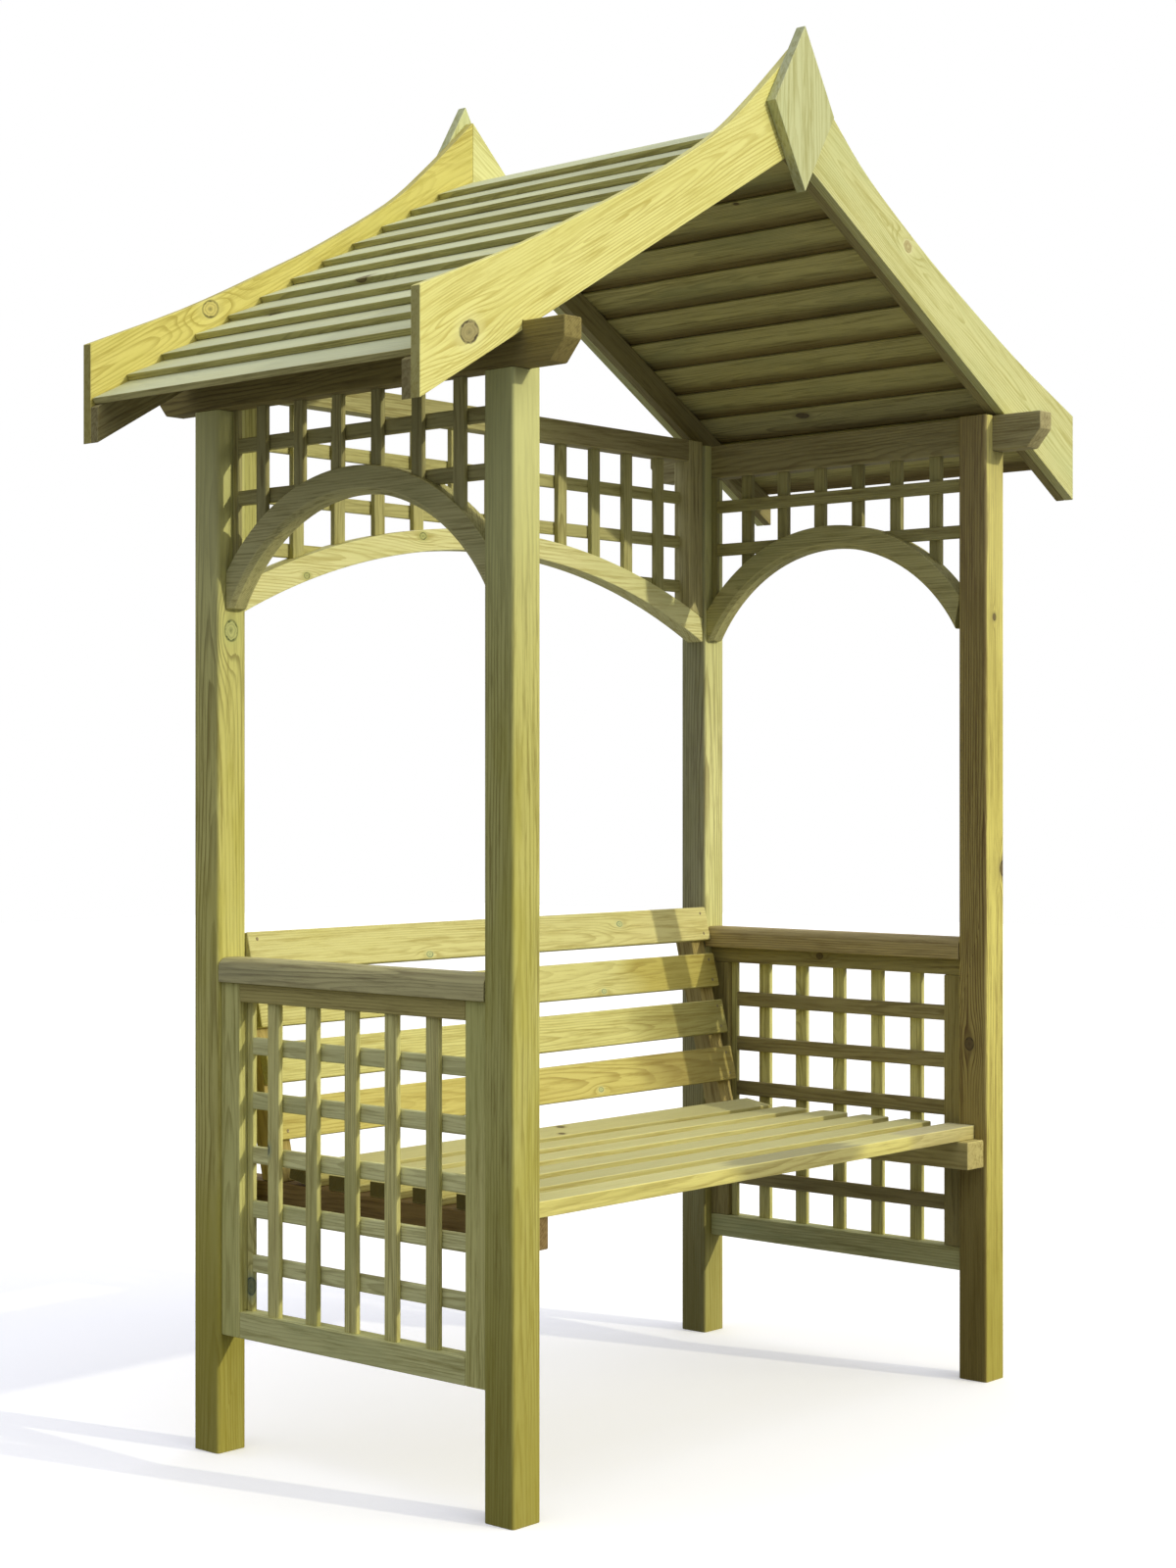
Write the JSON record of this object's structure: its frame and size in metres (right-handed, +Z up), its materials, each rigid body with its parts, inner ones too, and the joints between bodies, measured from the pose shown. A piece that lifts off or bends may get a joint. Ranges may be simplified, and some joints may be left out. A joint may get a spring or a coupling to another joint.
{
  "type": "arbour seat",
  "caption": "Timber garden arbour: a slatted bench with a leaning backrest between posts, under a boarded gable roof with swept bargeboards, with arches and trellis.",
  "frame": {"origin": "on the ground, at the centre between the four posts", "axes": "+Z up; +X to the right of someone who faces the bench from the front; the front, where one sits down, faces -Y"},
  "size_m": [1.728, 0.914, 2.3188],
  "materials": {
    "post_timber": "planed, pressure-treated",
    "roof_timber": "planed, pressure-treated, in shade",
    "barge_timber": "planed, pressure-treated, bright yellow",
    "finial_timber": "planed, pressure-treated, pale green",
    "roof_board_timber": "sawn, pressure-treated, grey-green",
    "panel_timber": "planed, pressure-treated, olive",
    "lath_timber": "planed, pressure-treated, grey-green",
    "armrest_timber": "planed, pressure-treated, brown-green",
    "seat_timber": "planed, pressure-treated, yellow",
    "backrest_timber": "planed, pressure-treated, yellow"
  },
  "bodies": {
    "root": {"armrest_left": "armrest_timber", "armrest_right": "armrest_timber", "back_arch": "panel_timber", "back_stile_left": "panel_timber", "back_stile_right": "panel_timber", "back_top_rail": "panel_timber", "back_trellis": "lath_timber", "backrest_slat_1": "backrest_timber", "backrest_slat_2": "backrest_timber", "backrest_slat_3": "backrest_timber", "backrest_slat_4": "backrest_timber", "backrest_support_left": "roof_timber", "backrest_support_right": "roof_timber", "bargeboard_back_left": "barge_timber", "bargeboard_back_right": "barge_timber", "bargeboard_front_left": "barge_timber", "bargeboard_front_right": "barge_timber", "eaves_beam_left": "roof_timber", "eaves_beam_right": "roof_timber", "finial_back": "finial_timber", "finial_front": "finial_timber", "post_back_left": "post_timber", "post_back_right": "post_timber", "post_front_left": "post_timber", "post_front_right": "post_timber", "rafter_back_left": "roof_timber", "rafter_back_right": "roof_timber", "rafter_front_left": "roof_timber", "rafter_front_right": "roof_timber", "roof_boards_left_1": "roof_board_timber", "roof_boards_left_2": "roof_board_timber", "roof_boards_left_3": "roof_board_timber", "roof_boards_left_4": "roof_board_timber", "roof_boards_right_1": "roof_board_timber", "roof_boards_right_2": "roof_board_timber", "roof_boards_right_3": "roof_board_timber", "roof_boards_right_4": "roof_board_timber", "seat_bearer_left": "roof_timber", "seat_bearer_right": "roof_timber", "seat_slat_1": "seat_timber", "seat_slat_2": "seat_timber", "seat_slat_3": "seat_timber", "seat_slat_4": "seat_timber", "seat_slat_5": "seat_timber", "seat_slat_6": "seat_timber", "side_arch_left": "panel_timber", "side_arch_right": "panel_timber", "side_bottom_rail_left": "panel_timber", "side_bottom_rail_right": "panel_timber", "side_stile_back_left": "panel_timber", "side_stile_back_right": "panel_timber", "side_stile_front_left": "panel_timber", "side_stile_front_right": "panel_timber", "side_top_rail_left": "panel_timber", "side_top_rail_right": "panel_timber", "side_top_trellis_left": "lath_timber", "side_top_trellis_right": "lath_timber", "side_trellis_left": "lath_timber", "side_trellis_right": "lath_timber"}
  },
  "joints": []
}
